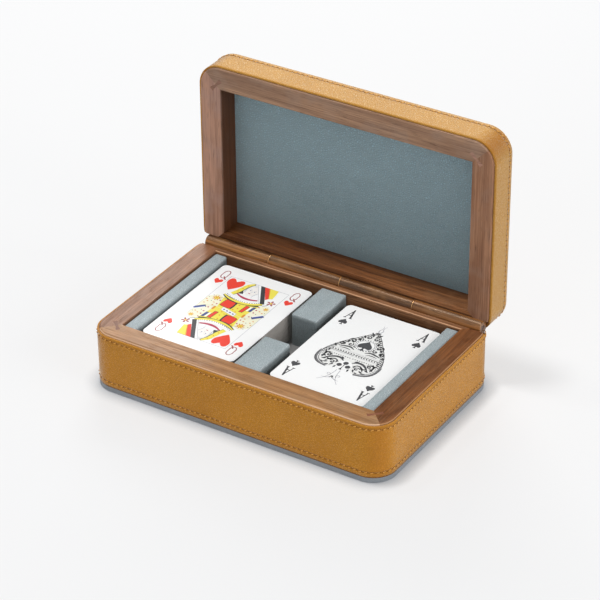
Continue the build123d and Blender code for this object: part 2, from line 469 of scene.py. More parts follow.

# Each rail is its own stick of walnut: grain direction, light and dark tone, a place in the log,
# how many rings it cuts, and how it darkens: painted shade on its inner walls, or darker towards one end
walnutSticks = {
    "base_front_rail": ("X", (0.54, 0.284, 0.126), (0.34, 0.164, 0.067), (0.0, 0.0, 0.0), 3.0, "frontEnd"),
    "base_back_rail": ("X", (0.44, 0.205, 0.095), (0.17, 0.075, 0.034), (0.3, 0.11, 0.2), 5.0, "trayBack"),
    "base_left_rail": ("Y", (0.345, 0.163, 0.086), (0.215, 0.092, 0.045), (0.7, 0.23, 0.1), 5.0, "tray"),
    "base_right_rail": ("Y", (0.30, 0.115, 0.040), (0.14, 0.048, 0.017), (0.5, 0.37, 0.4), 6.0, "tray"),
    "lid_front_rail": ("X", (0.50, 0.295, 0.180), (0.27, 0.15, 0.095), (0.9, 0.05, 0.6), 4.0, "lid"),
    "lid_back_rail": ("X", (0.50, 0.205, 0.074), (0.16, 0.060, 0.022), (1.1, 0.15, 0.3), 5.0, "lidBack"),
    "lid_left_rail": ("Z", (0.58, 0.325, 0.225), (0.36, 0.19, 0.125), (1.3, 0.25, 0.7), 4.0, "lid"),
    "lid_right_rail": ("Z", (0.45, 0.23, 0.130), (0.26, 0.117, 0.063), (1.5, 0.35, 0.9), 4.0, "lid"),
    # the plugs are painted dark: shade on the barrel's end faces
    "hinge_plug_left": ("Y", (0.12, 0.05, 0.022), (0.07, 0.028, 0.012), (1.9, 0.1, 0.1), 5.0, None),
    "hinge_plug_right": ("Y", (0.12, 0.05, 0.022), (0.07, 0.028, 0.012), (2.1, 0.2, 0.1), 5.0, None),
    "base_corner_keys": ("X", (0.34, 0.135, 0.070), (0.22, 0.080, 0.042), (2.3, 0.1, 0.5), 5.0, "leftKey"),
    "lid_corner_keys": ("X", (0.50, 0.27, 0.185), (0.38, 0.19, 0.125), (2.5, 0.2, 0.5), 5.0, "leftKey"),
}
knuckleLights = [(0.38, 0.150, 0.036), (0.36, 0.140, 0.034), (0.39, 0.155, 0.038), (0.37, 0.145, 0.036)]
for index, light in enumerate(knuckleLights):
    walnutSticks[f"hinge_knuckle_{index + 1}"] = (
        "X", light, (0.045, 0.015, 0.005), (1.7, 0.02 + 0.1 * index, 0.1 + 0.2 * index), 4.0, None)

# Painted shade on inner walls (tray, lid, lidBack, trayBack), or darker towards one end: axis, start and stop in
# metres, and how much
shadeAndEndRamps = {
    "tray": ("Z", 0.0384, 0.0350, 0.5),
    "lid": ("Y", 0.0578, 0.0600, 1.0),
    "lidBack": ("X", 0.1050, -0.0300, 0.78),
    "trayBack": ("Z", 0.0375, 0.0310, 0.3),
    "frontEnd": ("X", 0.0300, -0.0900, 0.24),
    "leftKey": ("X", 0.0100, -0.0600, 0.45),
    None: None,
}

# Painted lines along an edge: a pale highlight where it catches the light, and dark painted shade
# under the barrel: axis, place, half width and colour
paintedEdgeLines = {
    "base_back_rail": ("Y", 49.6 * mm, 0.45 * mm, (0.74, 0.44, 0.26)),
    "base_front_rail": ("Z", 38.25 * mm, 0.45 * mm, (0.86, 0.58, 0.38)),
    "base_right_rail": ("Z", 38.25 * mm, 0.45 * mm, (0.50, 0.27, 0.13)),
    "lid_back_rail": ("Z", 43.8 * mm, 0.9 * mm, (0.045, 0.016, 0.006)),
}

plainNodes = {
    "tanLeather": ["lid_leather_top"],
    "tanLeatherTray": ["base_leather_band"],
    "tanLeatherLid": ["lid_leather_band"],
    "liningLeather": ["lid_lining"],
    "soleLeather": ["base_sole"],
    "suede": ["base_floor_lining"],
    "fibreBoard": ["base_floor_board", "lid_board", "left_end_strip_core", "right_end_strip_core",
                   "front_divider_core", "rear_divider_core"],
    "drawnSteel": ["hinge_pin"],
}

for nodeName, (*stick, walls) in walnutSticks.items():
    polish = walnutFinish["knuckle" if nodeName.startswith("hinge_knuckle") else "rail"]
    makeWalnut("walnut_" + nodeName, *stick, shadeAndEndRamps[walls], paintedEdgeLines.get(nodeName), **polish)
    dress(nodes[nodeName], materials["walnut_" + nodeName])
for finish, nodeNames in plainNodes.items():
    for nodeName in nodeNames:
        dress(nodes[nodeName], materials[finish])
print("frame nodes dressed")


# Padded strips and dividers: a block with soft, slightly crowned leather over it

padding = {
    "edgeRadius": 1.2 * mm,
    "crown": 0.25 * mm,
    "cuts": 3,
    "inset": 3.0 * mm,
    "topSlack": 0.1 * mm,
    # faces that look up this much get the paler copy of the leather, a painted highlight on the rounded edges
    "rim": (0.3, 0.95),          # how far a face looks up where the leather is paler
}
smoothAngle = math.radians(35)


def makePadding(node, name):
    low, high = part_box(node)
    bpy.ops.mesh.primitive_cube_add(size=1.0, location=(low + high) / 2, scale=high - low)
    block = editNew()
    pick("edges", lambda edge: max(v.co.z for v in edge.verts) > high.z - mm)
    bpy.ops.mesh.bevel(offset=padding["edgeRadius"], offset_type="OFFSET", segments=4, profile=0.5)
    top, inset = high.z - padding["topSlack"], padding["inset"]
    pick("faces", lambda face: face.normal.z > 0.99 and face.calc_center_median().z > top)
    bpy.ops.mesh.subdivide(number_cuts=padding["cuts"])
    pick("verts", lambda vert: vert.co.z > top and low.x + inset < vert.co.x < high.x - inset
         and low.y + inset < vert.co.y < high.y - inset)
    bpy.ops.transform.translate(value=(0.0, 0.0, padding["crown"]))
    leaveEdit()
    bpy.ops.object.shade_smooth_by_angle(angle=smoothAngle)
    dress(block, materials["blueLeather"], materials["blueLeatherLitEdge"])
    for polygon in block.data.polygons:
        polygon.material_index = int(padding["rim"][0] < polygon.normal.z < padding["rim"][1])
    finishPiece(block, name, "tray", [node])


for nodeName in ("left_end_strip_cover", "right_end_strip_cover", "front_divider_cover", "rear_divider_cover"):
    makePadding(nodeName, nodeName.replace("_cover", "_leather"))
print("padding made")


# Thin brass washers between the knuckles of the hinge

washers = {
    "seams": (-50.0 * mm, 0.0, 50.0 * mm),
    "radius": 4.5 * mm,
    "thickness": 0.45 * mm,
    "edge": 0.12 * mm,
    "hinge": (57.4 * mm, 38.9 * mm),
}


def makeWasher(seam):
    bpy.ops.mesh.primitive_cylinder_add(vertices=40, radius=washers["radius"], depth=washers["thickness"],
                                        rotation=(0.0, math.pi / 2, 0.0))
    washer = editNew()
    flat = 0.45 * washers["thickness"]       # just inside a face
    pick("edges", lambda edge: all(abs(v.co.x) > flat for v in edge.verts)
         and abs(edge.verts[0].co.x - edge.verts[1].co.x) < flat)
    bpy.ops.mesh.bevel(offset=washers["edge"], offset_type="OFFSET", segments=2, profile=0.5)
    leaveEdit()
    bpy.ops.object.shade_smooth_by_angle(angle=smoothAngle)
    dress(washer, materials["brass"])
    washer.location = (seam, *washers["hinge"])
    return washer


finishPiece(joinAll([makeWasher(seam) for seam in washers["seams"]]), "hinge_washers", "tray")


# Stitches: one short thread, copied along each row and turned to follow the corners

stitches = {
    "pitch": 3.45 * mm,
    "length": 3.0 * mm,
    "radius": 0.33 * mm,
    "sink": 0.2 * mm,
    "slant": math.radians(20),
    "endShare": 0.5,             # how thick the thread is where it dives
    # the thread's ends are painted dark as shade in the needle hole
    "holeShare": 0.7,            # where along it the dark of the needle hole starts
}


def makeStitch():
    bpy.ops.mesh.primitive_cylinder_add(vertices=6, radius=stitches["radius"], depth=stitches["length"],
                                        rotation=(0.0, math.pi / 2, 0.0))
    stitch = editNew()
    half = stitches["length"] / 2
    pick("edges", lambda edge: abs(edge.verts[0].co.x - edge.verts[1].co.x) > half)
    bpy.ops.mesh.subdivide(number_cuts=4)
    for end in (-1, 1):
        pick("verts", lambda vert: end * vert.co.x > 0.9 * half)
        bpy.ops.transform.resize(value=(1.0, stitches["endShare"], stitches["endShare"]))
        bpy.ops.transform.translate(value=(0.0, 0.0, -2.2 * stitches["sink"]))
    leaveEdit()
    bpy.ops.object.shade_smooth()
    dress(stitch, materials["thread"], materials["needleHoleShade"])
    for polygon in stitch.data.polygons:
        # where the thread dives into the leather: painted shade of the needle hole
        polygon.material_index = int(abs(polygon.center.x) > stitches["holeShare"] * half)
    return stitch


def walkRoundedBox(halfX, halfY, radius, pitch):
    # even steps round a box with round corners, about a pitch apart: place, and direction of travel
    straights = (2 * (halfX - radius), 2 * (halfY - radius)) * 2
    lengths = [straight + math.pi / 2 * radius for straight in straights]
    count = round(sum(lengths) / pitch)
    for index in range(count):
        side, left = 0, (index + 0.5) * sum(lengths) / count
        while left > lengths[side]:
            left -= lengths[side]
            side += 1
        # on a side, past is how far it still is to the corner, below 0, and then how far round it
        angle, past = side * math.pi / 2, left - straights[side]
        turn = angle + max(past, 0.0) / radius
        along, out = straights[side] / 2 + min(past, 0.0), straights[side - 1] / 2
        c, s = math.cos(angle), math.sin(angle)
        yield along * c + out * s + radius * math.sin(turn), along * s - out * c - radius * math.cos(turn), turn


def placeStitch(place, travel, outward):
    # travel and outward are unit vectors; the thread is turned a little about outward
    copy = stitch.copy()
    copy.data = stitch.data.copy()
    bpy.context.collection.objects.link(copy)
    across = outward.cross(travel)
    turn = Matrix((travel, across, outward)).transposed().to_4x4()
    slant = Matrix.Rotation(stitches["slant"], 4, "Z")
    lift = outward * (stitches["radius"] - stitches["sink"])
    copy.matrix_world = Matrix.Translation(place + lift) @ turn @ slant
    return copy


def sewRow(name, body, node, level, upright=False, keep=lambda across: True):
    # round the tray a row runs in X and Y, and round the upright lid in X and Z
    order = (0, 2, 1) if upright else (0, 1, 2)
    low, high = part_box(node)
    halfX, halfAcross = (high - low)[0] / 2, (high - low)[order[1]] / 2
    middle = (low + high)[order[1]] / 2
    row = []
    for x, across, angle in walkRoundedBox(halfX, halfAcross, cornerRadius, stitches["pitch"]):
        if keep(across):
            c, s = math.cos(angle), math.sin(angle)
            row.append(placeStitch(*[Vector([vector[axis] for axis in order]) for vector in (
                (x, across + middle, level), (c, s, 0.0), (s, -c, 0.0))]))
    finishPiece(joinAll(row), name, body)


cornerRadius = 15.0 * mm
slopeStart = 58.6 * mm       # behind this the top of the tray slopes away for the hinge
slopeEnd = 63.9 * mm
slopeRow = 29.9 * mm         # height of the row under that slope

stitch = makeStitch()
sewRow("tray_foot_stitches", "tray", "base_leather_band", seamRows["trayFoot"])
sewRow("tray_top_stitches", "tray", "base_leather_band", seamRows["trayTop"], keep=lambda y: y < slopeStart)
sewRow("tray_slope_stitches", "tray", "base_leather_band", slopeRow, keep=lambda y: y > slopeEnd)
sewRow("lid_stitches", "lid", "lid_leather_band", seamRows["lid"], upright=True)
bpy.data.objects.remove(stitch)
print("stitches sewn")


# Decks: separate cards, squared up by hand, with the printed card on top

cards = {
    "cornerRadius": 3.2 * mm,
    "count": 53,
    "shift": 0.12 * mm,
    "turn": math.radians(0.12),
}


def makeCard(centre, size, bottom, thickness):
    bpy.ops.mesh.primitive_plane_add(size=1.0, location=(0.0, 0.0, 0.0))
    card = bpy.context.object
    card.scale = (size.x, size.y, 1.0)
    editNew()
    bpy.ops.mesh.select_all(action="SELECT")
    bpy.ops.mesh.bevel(offset=cards["cornerRadius"], offset_type="OFFSET", segments=5, affect="VERTICES")
    bpy.ops.mesh.select_all(action="SELECT")
    bpy.ops.mesh.extrude_region_move(TRANSFORM_OT_translate={"value": (0.0, 0.0, thickness)})
    bpy.ops.mesh.select_all(action="SELECT")
    bpy.ops.mesh.normals_make_consistent(inside=False)
    leaveEdit()
    card.location = (centre.x, centre.y, bottom)
    return card


def makeDeck(side, chance):
    body = side + "_deck"
    low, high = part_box(body + "_stack")
    centre, size = (low + high) / 2, high - low
    pitch = size.z / cards["count"]
    stack = []
    for index in range(cards["count"]):
        card = makeCard(centre, size, low.z + index * pitch, 0.92 * pitch)
        card.location.x += chance.uniform(-1, 1) * cards["shift"]
        card.location.y += chance.uniform(-1, 1) * cards["shift"]
        card.rotation_euler.z = chance.uniform(-1, 1) * cards["turn"]
        stack.append(card)
    deck = joinAll(stack)
    dress(deck, materials["cardEdgeGreyAndShade"])
    finishPiece(deck, body + "_cards", body, [body + "_stack"])
    low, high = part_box(body + "_top_card")
    top = makeCard((low + high) / 2, high - low, low.z, high.z - low.z)
    dress(top, materials["cardFace"])
    finishPiece(top, side + "_top_card", body, [body + "_top_card"])


chance = random.Random(7)
for side in ("left", "right"):
    makeDeck(side, chance)
print("decks made")


# Card prints: thin layers of ink, drawn flat in millimetres from the middle of the card

prints = {
    "layer": 0.014 * mm,
    "curveSteps": 5,
    "indexPlace": (24.7, 34.6),
    "aPlace": (24.7, 35.7),
    "pipPlace": (24.8, 26.2),
    "picture": (20.6, 34.7),
    "lineWidth": 0.28,
}

inks = {
    "red": (0.88, 0.045, 0.02),
    "crimson": (0.50, 0.03, 0.09),
    "yellow": (0.92, 0.80, 0.09),
    "pale": (0.93, 0.91, 0.70),
    "orange": (0.76, 0.30, 0.02),
    "blue": (0.035, 0.07, 0.30),
    "black": (0.03, 0.03, 0.035),
    "grey": (0.52, 0.52, 0.55),
    "charcoal": (0.055, 0.055, 0.06),
    "smoke": (0.17, 0.17, 0.175),
    "mist": (0.87, 0.87, 0.85),
    "rose": (0.36, 0.09, 0.09),
    "white": (0.97, 0.97, 0.965),
    "skin": (0.95, 0.92, 0.88),
}
for name, colour in inks.items():
    makeInk(name, colour)


def turned(outline, angle, shift=(0.0, 0.0), size=1.0, mirror=False):
    # a third entry in a point marks a sharp corner, and is kept
    c, s = math.cos(angle) * size, math.sin(angle) * size
    moved = []
    for x, y, *corner in outline:
        x = -x if mirror else x
        moved.append((c * x - s * y + shift[0], s * x + c * y + shift[1], *corner))
    return moved


def inkShape(ink, layer, *outlines):
    # the first outline is the edge, and any others inside it are holes
    curve = bpy.data.curves.new("ink", "CURVE")
    curve.dimensions = "2D"
    curve.fill_mode = "BOTH"
    curve.resolution_u = prints["curveSteps"]
    for outline in outlines:
        spline = curve.splines.new("BEZIER")
        spline.bezier_points.add(len(outline) - 1)
        for point, (x, y, *corner) in zip(spline.bezier_points, outline):
            point.co = (x * mm, y * mm, 0.0)
            point.handle_left_type = point.handle_right_type = "VECTOR" if corner else "AUTO"
        spline.use_cyclic_u = True
    curve.materials.append(materials["ink_" + ink])
    shape = bpy.data.objects.new("ink", curve)
    shape.location.z = layer * prints["layer"]
    bpy.context.collection.objects.link(shape)
    return shape


def pen(*moves):
    # inks a shape after these moves, each of them what turned is given after the outline
    def fill(ink, layer, *outlines):
        for move in moves:
            outlines = [turned(outline, *move) for outline in outlines]
        return inkShape(ink, layer, *outlines)

    return fill


def cornered(*points):
    return [(x, y, "corner") for x, y in points]


def doubled(half):
    # a shape that looks the same upside down, from one half of it
    return half + turned(half, math.pi)


def oval(centre, radiusX, radiusY=None):
    return turned(doubled([(radiusX, 0.0), (0.0, radiusY or radiusX)]), 0.0, centre)


def brush(path, widths):
    # a drawn line through the points of a path, as wide at each point as widths says
    left, right = [], []
    last = len(path) - 1
    for index, (x, y) in enumerate(path):
        (aheadX, aheadY), (behindX, behindY) = path[min(index + 1, last)], path[max(index - 1, 0)]
        along = Vector((aheadX - behindX, aheadY - behindY)).normalized()
        share = index / last * (len(widths) - 1)
        low = min(int(share), len(widths) - 2)
        half = (widths[low] + (widths[low + 1] - widths[low]) * (share - low)) / 2
        corner = ["corner"] if index in (0, last) else []
        left.append((x - along.y * half, y + along.x * half, *corner))
        right.append((x + along.y * half, y - along.x * half, *corner))
    return left + right[::-1]


# Outlines of width 1 from the middle of the sign, and a leaf from its stem
heart = [(0.0, -0.52, "corner"), (0.27, -0.24), (0.49, 0.14), (0.32, 0.44), (0.0, 0.24, "corner"),
         (-0.32, 0.44), (-0.49, 0.14), (-0.27, -0.24)]
spadeLeaf = [(0.0, 0.62, "corner"), (0.16, 0.40), (0.40, 0.16), (0.50, -0.10), (0.38, -0.30), (0.10, -0.26),
             (-0.10, -0.26), (-0.38, -0.30), (-0.50, -0.10), (-0.40, 0.16), (-0.16, 0.40)]
spadeStem = [(0.05, -0.20, "corner"), (0.08, -0.40), (0.20, -0.58, "corner"), (-0.20, -0.58, "corner"),
             (-0.08, -0.40), (-0.05, -0.20, "corner")]
leaf = [(0.0, 0.0, "corner"), (0.35, 0.17), (1.0, 0.0, "corner"), (0.35, -0.17)]

# The strokes of a tall A, in millimetres from its middle
letterA = [cornered((-2.4, -5.0), (-1.7, -5.0), (0.35, 4.0), (0.0, 5.3)),
           cornered((-0.3, 5.3), (0.4, 5.3), (2.6, -5.0), (1.3, -5.0), (-0.45, 3.4)),
           cornered((-1.6, -2.1), (1.6, -2.1), (1.5, -1.4), (-1.5, -1.4)),
           cornered((-3.0, -5.3), (-1.1, -5.3), (-1.1, -4.7), (-3.0, -4.7)),
           cornered((0.9, -5.3), (3.1, -5.3), (3.1, -4.7), (0.9, -4.7))]


def drawIndices(drawOne):
    # in the four corners, with the lower two upside down
    for turn in (0.0, math.pi):
        for hand in (-1.0, 1.0):
            drawOne(lambda place, size=1.0: pen((0.0, (hand * place[0], place[1]), size), (turn,)))


def tallRing(radiusX, radiusY):
    return doubled([(radiusX, 0.0), (0.86 * radiusX, 0.66 * radiusY), (0.0, radiusY),
                    (-0.86 * radiusX, 0.66 * radiusY)])


def queenIndex(penAt):
    # an open Q: a tall ring and a tail
    letter = penAt(prints["indexPlace"])
    letter("rose", 1, tallRing(2.2, 4.7), tallRing(1.6, 4.1))
    letter("rose", 3, cornered((0.1, -2.4), (0.9, -2.2), (3.3, -5.2), (2.0, -5.3)))
    penAt(prints["pipPlace"], 5.7)("red", 1, heart)


def aceIndex(penAt):
    for stroke in letterA:
        penAt(prints["aPlace"], 0.93)("charcoal", 1, stroke)
    for outline in (spadeLeaf, spadeStem):
        penAt(prints["pipPlace"], 5.5)("charcoal", 1, outline)


# A double-ended queen: each call draws one half, and the other is the same half turned round

queenDots = [
    ("crimson", 3, (0.55, 0.55), [(12.9, 13.2), (13.2, 9.8), (13.2, 6.6), (13.3, 1.6), (-11.2, 8.2),
                                  (-11.0, 4.0)]),
    ("orange", 3, (0.6, 0.4), [(-19.2, 5.8), (-17.6, 4.0), (-18.4, 1.6), (-13.4, 4.6), (-12.6, 1.8), (15.6, 9.6),
                               (17.8, 8.6)]),
    ("black", 3, (0.3, 0.3), [(-19.2, 8.6), (-17.6, 11.4), (-15.6, 5.2), (-12.0, 11.2), (19.2, 9.4), (15.2, 6.0),
                              (19.4, 4.4)]),
    ("orange", 3, (0.75, 1.9), [(10.1, 0.6)]),
    ("orange", 2, (0.5, 0.5), [(-9.6, 11.2), (1.6, 9.4), (2.6, 5.8), (0.8, 3.4), (3.4, 2.0), (-8.9, 4.6)]),
]


def drawQueenHalf(turn):
    fill = pen((turn,))

    def band(ink, layer, path, widths):
        return fill(ink, layer, brush(path, widths))

    def edged(ink, outline, width=0.3):
        # a filled shape with a black edge round it
        fill("black", 2, outline).data.offset = width * mm
        fill(ink, 3, outline)

    # robe, with its sleeves
    fill("yellow", 1, cornered((-11.4, 12.6), (0.0, 11.4), (12.4, 14.4), (10.8, 4.0), (10.2, -1.6), (-9.2, 1.6)))
    fill("pale", 1, cornered((-20.4, -1.5), (-20.4, 8.6), (-16.4, 13.4), (-11.4, 12.6), (-9.2, 1.6)))
    fill("pale", 1, cornered((12.4, 14.4), (17.6, 16.8), (20.4, 13.4), (20.4, 1.5), (10.2, -1.6), (10.8, 4.0)))
    drawSun(fill, (-14.6, 9.6), 3.1)
    drawSun(fill, (17.6, 13.4), 2.0)
    for ink, layer, radii, places in queenDots:
        for place in places:
            fill(ink, layer, oval(place, *radii))
    # folded ribbon at the cuff
    band("black", 3, [(15.2, 1.2), (17.8, 3.6), (20.4, 6.4)], (2.6, 2.6))
    band("blue", 4, [(15.4, 1.4), (17.8, 3.6), (20.4, 6.4)], (2.0, 2.2))
    band("white", 5, [(14.9, 2.2), (17.2, 4.6), (19.8, 7.2)], (0.7, 0.7))
    # square and bars on the robe
    edged("red", turned(roundedBox(3.7), math.radians(-5), (-4.7, 7.4)))
    band("black", 4, [(-1.4, 11.4), (-0.8, 7.4), (-1.2, 3.2)], (0.8, 1.3))
    edged("red", cornered((5.0, 3.4), (7.0, 3.6), (7.8, 10.9), (5.6, 11.0)))
    fill("white", 3, cornered((8.0, 6.2), (9.2, 6.2), (9.8, 11.6), (8.4, 11.2)))
    edged("blue", cornered((9.6, 6.4), (11.0, 6.6), (11.6, 12.0), (10.2, 11.8)), 0.2)
    band("black", 4, [(4.6, 12.0), (8.0, 12.6), (12.0, 14.0)], (1.0, 1.2))
    # yoke, ruff and collar, in bands round the neck
    yoke = [(-13.2, 15.4), (-9.0, 13.3), (-4.4, 12.2), (0.4, 12.1), (5.0, 12.9), (9.2, 14.6), (12.6, 17.0)]
    band("black", 4, yoke, (1.6, 3.3, 2.8, 2.8, 2.6))
    band("yellow", 5, [(x, y + 0.2) for x, y in yoke], (0.8, 2.3, 2.0))
    ruff = [(-11.6, 17.8), (-7.6, 15.8), (-3.0, 14.8), (0.8, 14.7), (5.0, 15.4), (8.6, 17.0), (10.8, 18.8)]
    band("white", 6, ruff, (2.6, 3.0, 2.6))
    for index in range(17):
        run = index / 16 * (len(ruff) - 1)
        low = min(int(run), len(ruff) - 2)
        pleat = Vector(ruff[low]).lerp(Vector(ruff[low + 1]), run - low)
        fill("charcoal", 7, oval((pleat.x, pleat.y - 1.1), 0.22, 0.42))
    band("crimson", 7, [(-7.0, 20.0), (-3.6, 18.3), (0.2, 17.5), (4.2, 17.8), (8.0, 19.1)], (0.9, 1.8, 1.2))
    drawQueenHead(fill, pen((math.radians(-8), (-0.2, 26.4)), (turn,)))
    # striped hanging behind the shoulder
    fill("white", 8, cornered((-1.4, 34.4), (1.4, 34.4), (11.6, 16.8), (9.4, 17.4)))
    band("grey", 9, [(-0.9, 34.4), (9.4, 17.8)], (0.3, 0.3))
    fill("red", 8, cornered((3.6, 34.5), (7.0, 34.5), (12.6, 24.0), (11.2, 22.4)))
    fill("yellow", 8, cornered((7.0, 34.5), (13.4, 34.5), (14.6, 25.2), (12.4, 24.0)))
    band("orange", 9, [(7.4, 34.4), (12.6, 24.2)], (0.35, 0.35))
    fill("black", 9, cornered((0.9, 34.5), (3.8, 34.5), (13.6, 17.8), (11.2, 16.6)))
    # flower
    for index in range(5):
        angle = math.radians(72 * index + 20)
        fill("crimson", 3, turned(leaf, angle, (16.6, 20.6), 3.1))
        fill("rose", 4, oval((16.6 + 2.0 * math.cos(angle), 20.6 + 2.0 * math.sin(angle)), 0.7))
    fill("yellow", 5, oval((16.6, 20.6), 0.7))
    band("black", 6, [(16.0, 18.2), (14.8, 16.4), (13.4, 15.6)], (0.35, 0.35))
    fill("red", 6, [(-14.1 + 11.2 * x, 27.6 + 13.2 * y, *corner) for x, y, *corner in heart])


def roundedBox(half):
    soft = 0.9 * half
    return doubled([(half, -soft), (half, soft), (soft, half), (-soft, half)])


def drawSun(fill, centre, reach):
    for index in range(8):
        fill("orange", 3, turned(leaf, math.radians(45 * index), centre, reach))
    fill("yellow", 4, oval(centre, 0.42 * reach))
    fill("orange", 5, oval(centre, 0.22 * reach))


# Her head leans a little. It is on plain proportions: eyes halfway, the nose and mouth evenly below
def drawQueenHead(fill, headFill):
    def stroke(path, width):
        headFill("grey", 7, brush(path, (0.4 * width, width, 0.4 * width)))

    headFill("skin", 6, [(3.7, 0.6), (3.1, 4.0), (0.0, 5.4), (-3.1, 4.0), (-3.7, 0.6), (-2.8, -3.4), (0.0, -5.4),
                         (2.8, -3.4)])
    for hand in (-1, 1):
        stroke([(hand * 0.7, 1.1), (hand * 1.5, 1.4), (hand * 2.4, 1.1)], 0.3)
        stroke([(hand * 0.7, 0.1), (hand * 1.5, 0.45), (hand * 2.3, 0.1)], 0.3)
        headFill("blue", 7, oval((hand * 1.5, 0.05), 0.3))
        stroke([(hand * 3.7, 3.6), (hand * 4.3, 0.4), (hand * 3.5, -3.6), (hand * 3.9, -6.4)], 0.4)
    stroke([(0.1, 0.2), (0.3, -1.4), (-0.3, -1.7)], 0.26)
    headFill("crimson", 7, [(-1.0, -2.9, "corner"), (0.0, -2.65), (1.0, -2.9, "corner"), (0.0, -3.3)])
    stroke([(-2.8, 4.6), (0.0, 6.1), (3.0, 4.6)], 0.4)
    stroke([(-3.2, 5.8), (0.0, 7.5), (2.8, 6.2)], 0.5)
    # hair drawn back under a jewelled band, and the shadow below it
    sweep = [(-3.0, 34.0), (-5.6, 30.6), (-6.9, 26.4), (-7.9, 22.4), (-9.6, 18.2)]
    fill("black", 7, brush([(x + 0.5, y) for x, y in sweep], (1.2, 2.6, 2.9, 3.0, 2.4)))
    fill("yellow", 8, brush(sweep, (1.3, 2.6, 2.9, 3.1, 2.6)))
    for jewel in sweep[1:4]:
        fill("orange", 9, oval(jewel, 0.45))
    fill("black", 9, cornered((-6.6, 20.4), (-3.6, 21.2), (-5.4, 24.4)))


def drawQueen():
    width, height = prints["picture"]
    frames = [doubled(cornered((-width + thin, -height + thin), (width - thin, -height + thin)))
              for thin in (0.0, prints["lineWidth"])]
    inkShape("grey", 1, *frames)
    drawIndices(queenIndex)
    for turn in (0.0, math.pi):
        drawQueenHalf(turn)
    # belt across the middle
    inkShape("grey", 6, cornered((-5.5, 3.1), (5.5, 0.4), (5.3, -3.1), (-5.3, -0.4)))
    inkShape("white", 7, cornered((-5.3, 2.9), (5.3, 0.2), (5.1, -2.9), (-5.1, -0.2)))
    for x in (-3.6, -1.2, 1.2, 3.6):
        inkShape("blue", 8, turned(oval((0.0, 0.0), 0.75, 0.5), -0.25, (x, -0.25 * x)))


# An ace of spades with scrolls and leaves, drawn on the right side and mirrored to the left

ace = {
    "rim": [(0.2, 25.8), (3.2, 22.6), (6.9, 17.8), (10.5, 12.6), (13.9, 7.9), (16.6, 2.8), (18.7, -2.8),
            (19.8, -8.2)],
    "rimLeaves": 3,
    "lobe": [(19.2, -5.0), (19.3, -9.6), (18.2, -13.8), (14.9, -17.2), (9.0, -19.0)],
    "vines": [([(3.6, 3.4), (6.8, 4.9), (10.0, 4.4), (13.6, 3.4)], (0.5, 1.7, 0.5)),
              ([(5.0, 2.0), (8.4, 2.6), (12.4, 2.0)], (0.3, 0.8, 0.3)),
              ([(2.8, -9.6), (5.6, -7.6), (9.0, -7.8), (12.4, -10.2), (15.0, -13.4)], (0.6, 1.9, 1.4, 0.4)),
              ([(4.8, -12.2), (7.4, -10.2), (10.2, -11.2), (12.4, -14.6)], (0.4, 1.3, 0.4)),
              ([(17.4, -4.0), (16.0, -7.6), (16.8, -11.4)], (0.4, 1.3, 0.4))],
    "scrolls": [(2.6, 19.0, 2.6, 70), (8.8, 11.6, 3.2, 20), (12.6, 6.4, 2.8, -30), (8.2, 7.6, 2.6, 120),
                (8.2, -13.6, 2.8, 20), (13.6, -8.0, 2.6, 60), (5.6, 15.0, 2.4, 100)],
    "leaves": [(1.0, 20.4, 2.6, 80), (4.2, 17.2, 2.6, 60), (6.8, 13.2, 2.8, 110), (7.4, 9.8, 2.6, 40),
               (10.4, 8.4, 2.8, 70), (13.0, 4.4, 2.6, 100), (6.2, 6.6, 2.4, 200), (15.2, -5.4, 2.6, -70),
               (6.4, -14.6, 2.6, -60), (10.2, -14.4, 2.8, -30), (12.6, -12.2, 2.6, -20), (4.2, -15.8, 2.4, -80),
               (8.4, -17.0, 2.4, -20), (14.2, -10.6, 2.2, 40), (12.4, -16.6, 2.6, 20),
               (16.4, -1.6, 2.6, -100), (13.4, -5.4, 2.8, -25), (9.2, -10.4, 2.6, -55), (11.2, -7.4, 2.8, 20),
               (6.0, -10.6, 2.4, -95), (15.8, -9.2, 2.6, -85), (3.4, -7.8, 2.4, 35), (10.6, -12.8, 2.6, 35),
               (2.0, 22.4, 2.4, 60), (4.8, 12.6, 2.4, 150), (9.6, 14.2, 2.6, -50), (14.6, 1.8, 2.6, 50)],
    "leafSize": 1.32,
    "filled": [(4.0, -15.6), (0.0, -12.4, "corner")],
    "garland": {"level": -1.3, "start": 0.9, "stop": 16.4, "pitch": 1.75, "leaf": 2.0},
    "beads": {"level": -5.4, "start": 1.0, "stop": 15.0, "pitch": 1.5, "radius": 0.42},
    # faint flourish at the tip, and the foot
    "flourish": [([(0.2, 25.8), (1.2, 28.4), (0.3, 31.0), (0.9, 34.0)], (0.8, 0.5, 0.2), "grey"),
                 ([(1.1, -19.4), (1.8, -24.4), (3.4, -29.0), (6.6, -33.0)], (0.5, 0.4, 0.3), "grey"),
                 ([(0.2, -26.8), (2.4, -29.0), (5.6, -29.6)], (1.0, 0.5, 0.2), "grey"),
                 ([(0.1, -26.2), (0.9, -28.6)], (1.2, 0.3), "smoke", 4)],
}


def scrollPath(x, y, size, turn, hand):
    path = []
    for index in range(11):
        share = index / 10
        angle = math.radians(turn) + hand * share * math.radians(430)
        reach = size * (0.62 * (1.0 - share) ** 1.3 + 0.06)
        path.append((x + reach * math.cos(angle), y + reach * math.sin(angle)))
    return path


def evenSteps(start, stop, pitch, **rest):
    return [start + index * pitch for index in range(int((stop - start) / pitch) + 1)]


